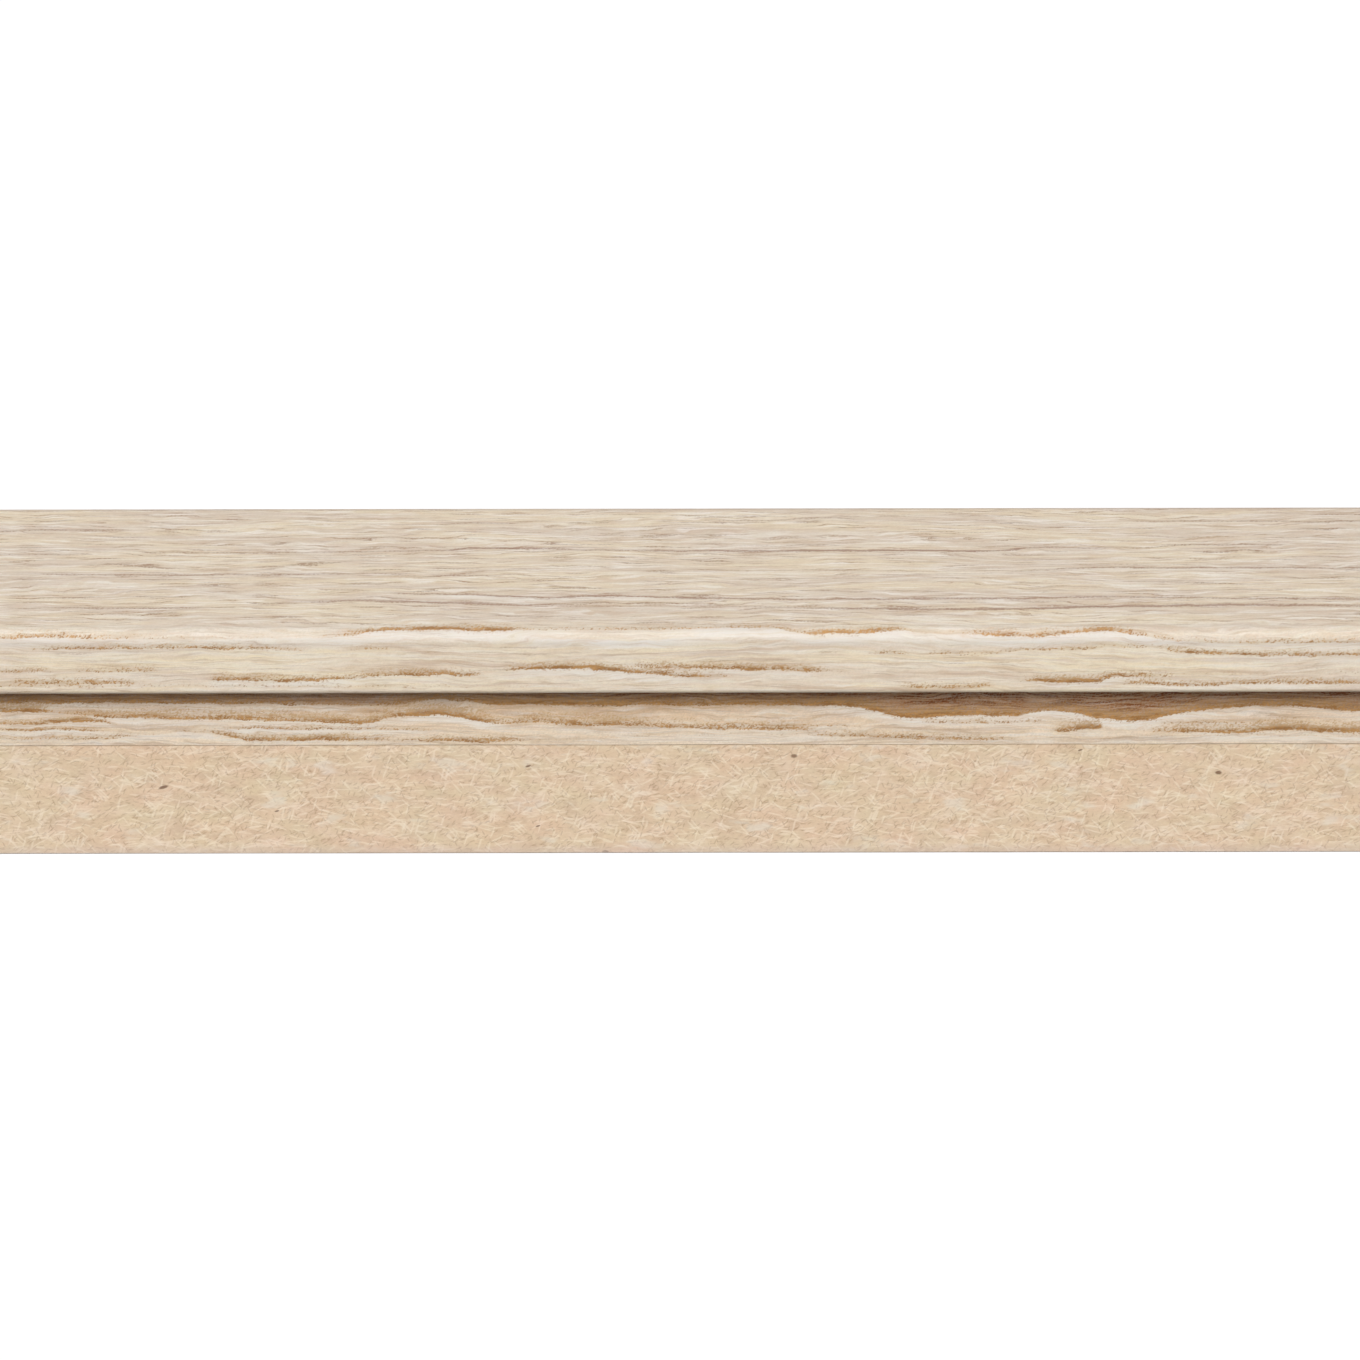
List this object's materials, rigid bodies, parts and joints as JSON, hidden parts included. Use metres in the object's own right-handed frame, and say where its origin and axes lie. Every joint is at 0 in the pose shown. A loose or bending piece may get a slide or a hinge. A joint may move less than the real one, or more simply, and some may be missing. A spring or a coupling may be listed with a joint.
{
  "type": "wall panel end trim",
  "caption": "Rebated end trim moulding that caps the end of wall panels, fibreboard wrapped in pale oak decor foil.",
  "frame": {"origin": "middle of the footprint, on the plane of the bare back", "axes": "+X along the length, +Z out of the wall towards the show face, -Y towards the wall panel that the rebate laps over"},
  "size_m": [2.4, 0.023, 0.0242],
  "materials": {
    "raw_mdf": "matte",
    "oak_decor_foil": "satin"
  },
  "bodies": {
    "root": {"mdf_core": "raw_mdf", "decor_foil": "oak_decor_foil"}
  },
  "joints": []
}
